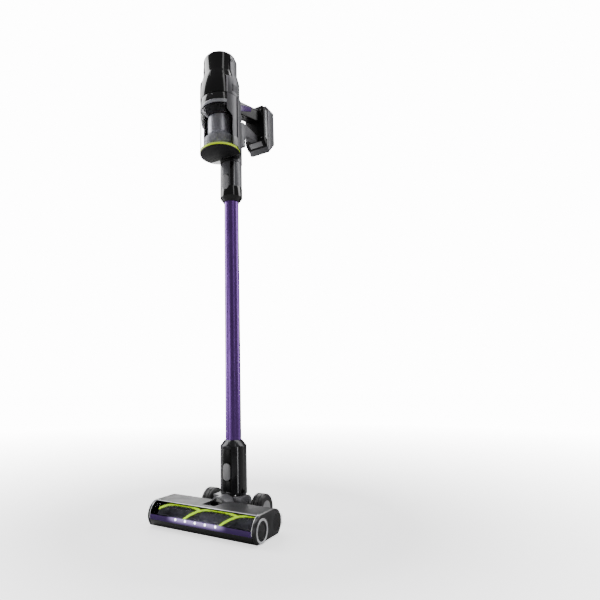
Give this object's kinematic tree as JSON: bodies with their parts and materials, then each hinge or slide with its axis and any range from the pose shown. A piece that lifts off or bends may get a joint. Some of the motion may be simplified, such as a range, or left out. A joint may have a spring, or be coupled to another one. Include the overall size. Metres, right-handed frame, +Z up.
{
  "type": "cordless stick vacuum",
  "caption": "Upright cordless stick vacuum with a swivelling floor head, metal wand, see-through dust bin, looped handle and slide-off battery.",
  "frame": {"origin": "middle of the footprint, on the floor that the head and wheels stand on", "axes": "+X to the right seen from the front, +Y to the back (battery side), +Z up along the wand"},
  "size_m": [0.256, 0.316, 1.086],
  "materials": {
    "black_gloss": "gloss",
    "black_matte": "fine texture",
    "grey_matte": "satin metallic grey",
    "grey_light": "satin",
    "steel": "brushed",
    "smoked_clear": "clear smoked",
    "bin_clear": "clear",
    "grey_clear": "translucent",
    "purple_plastic": "satin",
    "purple_metal": "anodised satin",
    "lamp_clear": "clear",
    "felt": "low friction strip",
    "motor_can": "turned",
    "belt_rubber": "matt",
    "green_plastic": "satin",
    "bristle": "soft fibre",
    "brass": "machined",
    "tyre": "soft matt",
    "hose_rubber": "matt",
    "filter_media": "pleated",
    "silver_mesh": "perforated",
    "green_rubber": "matt",
    "cell_wrap": "wrapped"
  },
  "bodies": {
    "head": {"head_top_housing": "grey_matte", "head_base_plate": "black_matte", "head_screws": "steel", "brush_window": "smoked_clear", "front_accent_strip": "purple_plastic", "lamp_lenses": "lamp_clear", "front_lip": "black_matte", "left_side_cover": "black_gloss", "right_side_cover": "black_gloss", "front_glides": "felt", "brush_chamber_liner": "black_matte", "brush_motor": "steel", "drive_belt": "belt_rubber", "swivel_collar": "grey_matte", "wheel_arms": "black_matte", "wheel_axles": "steel"},
    "brush_cartridge": {"brush_end_plate": "black_matte"},
    "brush_knob": {"brush_knob": "black_gloss"},
    "brush_roll": {"brush_core": "green_plastic", "brush_bristles": "bristle"},
    "drive_pulley": {"brush_drive_pulley": "black_matte"},
    "motor_pulley": {"motor_pulley": "brass"},
    "left_wheel": {"left_wheel_hub": "grey_light", "left_wheel_tyre": "tyre"},
    "right_wheel": {"right_wheel_hub": "grey_light", "right_wheel_tyre": "tyre"},
    "swivel": {"swivel_elbow": "grey_matte", "neck_pivot_pins": "steel", "swivel_hose": "hose_rubber"},
    "neck": {"neck_housing": "grey_matte", "neck_front_panel": "black_matte", "neck_button_spring": "steel"},
    "neck_button": {"neck_release_button": "grey_light"},
    "wand": {"wand_tube": "purple_metal", "wand_collar": "grey_matte", "wand_button_spring": "steel"},
    "wand_button": {"wand_release_button": "grey_light"},
    "handset": {"rear_housing": "grey_matte", "nozzle_tube": "black_matte", "motor_front_cover": "black_gloss", "motor_deck": "black_matte", "motor": "motor_can", "exhaust_filter": "filter_media", "grip_shell": "grey_matte", "grip_accent": "purple_plastic", "handle_frame": "black_matte", "handle_guard": "grey_matte"},
    "impeller": {"impeller": "grey_light"},
    "filter_cap": {"filter_cap": "black_gloss"},
    "trigger": {"trigger": "black_matte"},
    "bin": {"bin_cup": "bin_clear", "cyclone_body": "black_matte", "cyclone_shroud": "silver_mesh", "cyclone_skirt": "grey_clear"},
    "bin_lid": {"bin_lid": "black_gloss", "lid_seal": "green_rubber"},
    "bin_latch": {"bin_latch": "grey_light"},
    "battery": {"battery_case": "grey_matte", "battery_cells": "cell_wrap"},
    "battery_latch": {"battery_latch": "grey_light"}
  },
  "joints": [
    {"name": "brush_cartridge_slide", "type": "slide", "parent": "head", "child": "brush_cartridge", "axis": [1, 0, 0], "range_m": [0, 0.24]},
    {"name": "brush_knob_turn", "type": "hinge", "parent": "brush_cartridge", "child": "brush_knob", "pos_m": [0.126, -0.131, 0.023], "axis": [1, 0, 0], "range_deg": [0, 60]},
    {"name": "brush_spin", "type": "hinge", "parent": "brush_cartridge", "child": "brush_roll", "pos_m": [0, -0.131, 0.023], "axis": [1, 0, 0], "continuous": true},
    {"name": "drive_pulley_spin", "type": "hinge", "parent": "head", "child": "drive_pulley", "pos_m": [-0.115, -0.131, 0.023], "axis": [1, 0, 0], "continuous": true},
    {"name": "motor_pulley_spin", "type": "hinge", "parent": "head", "child": "motor_pulley", "pos_m": [-0.115, -0.082, 0.027], "axis": [1, 0, 0], "continuous": true},
    {"name": "left_wheel_spin", "type": "hinge", "parent": "head", "child": "left_wheel", "pos_m": [-0.063, -0.0154, 0.0295], "axis": [1, 0, 0], "continuous": true},
    {"name": "right_wheel_spin", "type": "hinge", "parent": "head", "child": "right_wheel", "pos_m": [0.063, -0.0154, 0.0295], "axis": [1, 0, 0], "continuous": true},
    {"name": "swivel_roll", "type": "hinge", "parent": "head", "child": "swivel", "pos_m": [0, -0.065, 0.038], "axis": [0, 1, 0], "range_deg": [-30, 30]},
    {"name": "neck_pitch", "type": "hinge", "parent": "swivel", "child": "neck", "pos_m": [0, -0.025, 0.038], "axis": [-1, 0, 0], "range_deg": [0, 80]},
    {"name": "neck_button_press", "type": "slide", "parent": "neck", "child": "neck_button", "axis": [0, 1, 0], "range_m": [0, 0.002], "stiffness_N_per_m": 800, "deforming": ["neck_button_spring"]},
    {"name": "wand_release", "type": "slide", "parent": "neck", "child": "wand", "axis": [0, 0, 1], "range_m": [0, 0.075]},
    {"name": "wand_button_press", "type": "slide", "parent": "wand", "child": "wand_button", "axis": [0, 1, 0], "range_m": [0, 0.002], "stiffness_N_per_m": 800, "deforming": ["wand_button_spring"]},
    {"name": "handset_release", "type": "slide", "parent": "wand", "child": "handset", "axis": [0, 0, 1], "range_m": [0, 0.07]},
    {"name": "impeller_spin", "type": "hinge", "parent": "handset", "child": "impeller", "pos_m": [0, -0.0737, 0.98], "axis": [0, 0, 1], "continuous": true},
    {"name": "filter_cap_lift", "type": "slide", "parent": "handset", "child": "filter_cap", "axis": [0, 0, 1], "range_m": [0, 0.08]},
    {"name": "trigger_pull", "type": "slide", "parent": "handset", "child": "trigger", "axis": [0, 0, 1], "range_m": [0, 0.004], "stiffness_N_per_m": 600},
    {"name": "bin_release", "type": "slide", "parent": "handset", "child": "bin", "axis": [0, -1, 0], "range_m": [0, 0.1]},
    {"name": "bin_lid_open", "type": "hinge", "parent": "bin", "child": "bin_lid", "pos_m": [0, -0.056, 0.8316], "axis": [1, 0, 0], "range_deg": [0, 80]},
    {"name": "bin_latch_slide", "type": "slide", "parent": "bin", "child": "bin_latch", "axis": [0, 0, -1], "range_m": [0, 0.003], "stiffness_N_per_m": 400},
    {"name": "battery_release", "type": "slide", "parent": "handset", "child": "battery", "axis": [0, 0, -1], "range_m": [0, 0.14]},
    {"name": "battery_latch_press", "type": "slide", "parent": "handset", "child": "battery_latch", "axis": [0, 0.6727, 0.7399], "range_m": [0, 0.0025], "stiffness_N_per_m": 800}
  ],
  "couplings": [
    {"joint": "drive_pulley_spin", "follows": "brush_spin", "ratio": 1},
    {"joint": "motor_pulley_spin", "follows": "brush_spin", "ratio": 2}
  ]
}
